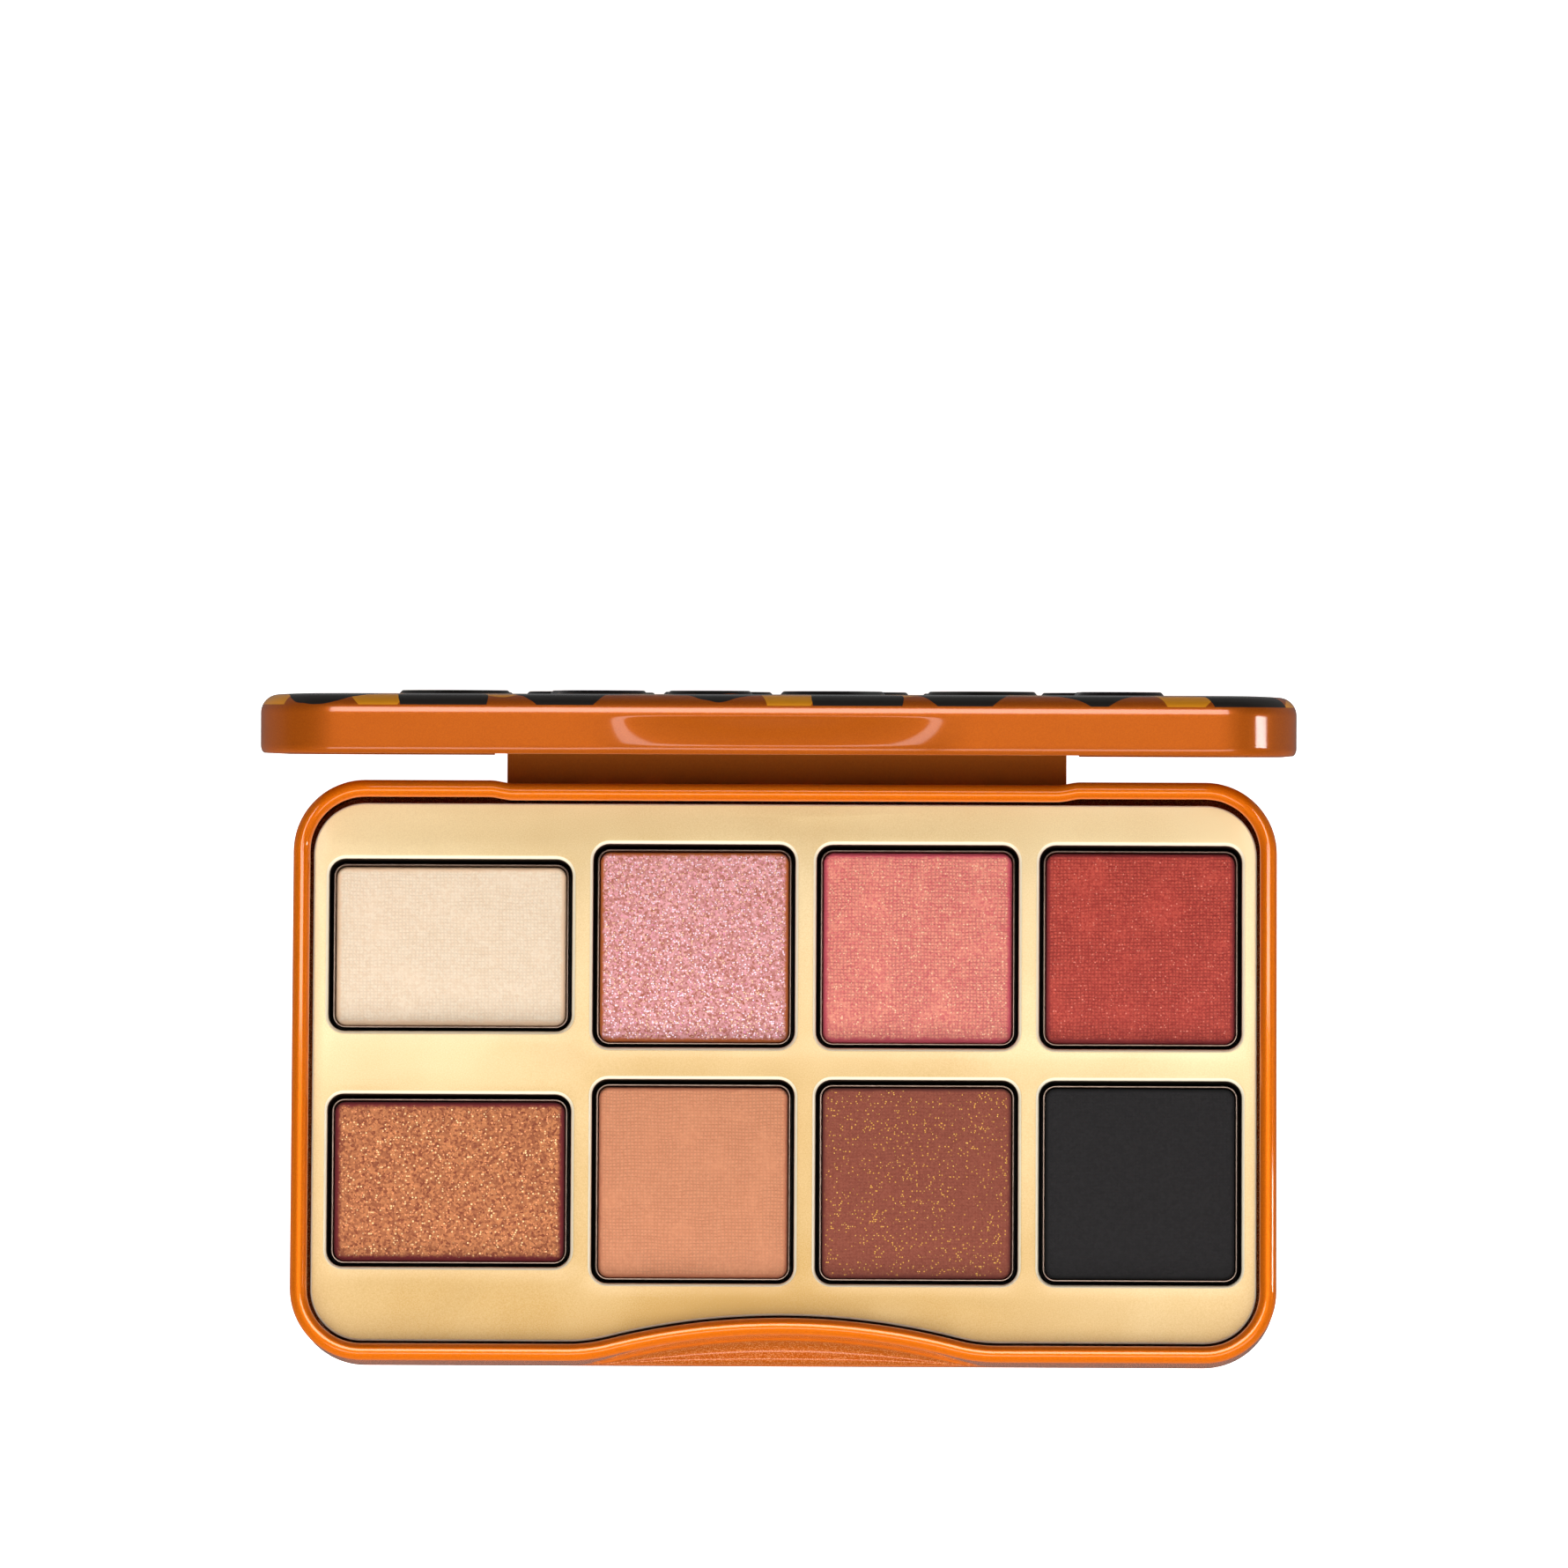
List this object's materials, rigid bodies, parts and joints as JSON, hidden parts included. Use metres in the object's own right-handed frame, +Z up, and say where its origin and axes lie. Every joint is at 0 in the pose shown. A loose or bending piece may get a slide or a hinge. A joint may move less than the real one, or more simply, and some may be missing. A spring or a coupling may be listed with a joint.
{
  "type": "eyeshadow palette",
  "caption": "Slim hinged metal palette tin with a slip-over lid, an inside mirror and a gold tray of pans filled with pressed eyeshadow.",
  "frame": {"origin": "middle of the base tin's underside, on the surface that the palette lies on", "axes": "+X to the user's right along the hinge, +Y to the back where the hinge is, +Z up"},
  "size_m": [0.112, 0.0751, 0.0681],
  "materials": {
    "base_paint": "orange metallic lacquer, glossy",
    "lid_paint": "orange metallic lacquer with black and amber spots outside, brown lacquer inside",
    "hinge_steel": "bright drawn steel wire",
    "tray_gold": "formed plastic with a satin gold metal film",
    "pan_metal": "bright pressed metal",
    "glue": "soft clear glue",
    "mirror_glass": "silvered glass",
    "mirror_glue": "double-sided foam sheet",
    "powder_cream": "matte pressed powder",
    "powder_pink_glitter": "pressed pink glitter over copper",
    "powder_coral": "satin coral pressed powder",
    "powder_brick": "satin brick red pressed powder",
    "powder_copper": "shimmering copper pressed powder",
    "powder_peach": "matte pressed powder",
    "powder_brown_glitter": "matte brown pressed powder with gold glitter",
    "powder_black": "matte pressed powder"
  },
  "bodies": {
    "base": {"base_tin": "base_paint", "hinge_wire": "hinge_steel", "tray_insert": "tray_gold", "pan_back_wide": "pan_metal", "pan_back_left": "pan_metal", "pan_back_middle": "pan_metal", "pan_back_right": "pan_metal", "pan_front_wide": "pan_metal", "pan_front_left": "pan_metal", "pan_front_middle": "pan_metal", "pan_front_right": "pan_metal", "powder_back_wide": "powder_cream", "powder_back_left": "powder_pink_glitter", "powder_back_middle": "powder_coral", "powder_back_right": "powder_brick", "powder_front_wide": "powder_copper", "powder_front_left": "powder_peach", "powder_front_middle": "powder_brown_glitter", "powder_front_right": "powder_black", "glue_back_wide": "glue", "glue_back_left": "glue", "glue_back_middle": "glue", "glue_back_right": "glue", "glue_front_wide": "glue", "glue_front_left": "glue", "glue_front_middle": "glue", "glue_front_right": "glue"},
    "lid": {"lid_tin": "lid_paint", "mirror": "mirror_glass", "mirror_adhesive": "mirror_glue"}
  },
  "joints": [
    {"name": "lid_hinge", "type": "hinge", "parent": "base", "child": "lid", "pos_m": [0, 0.0321, 0.0017], "axis": [-1, 0, 0], "range_deg": [-84.2, 9.5]}
  ]
}
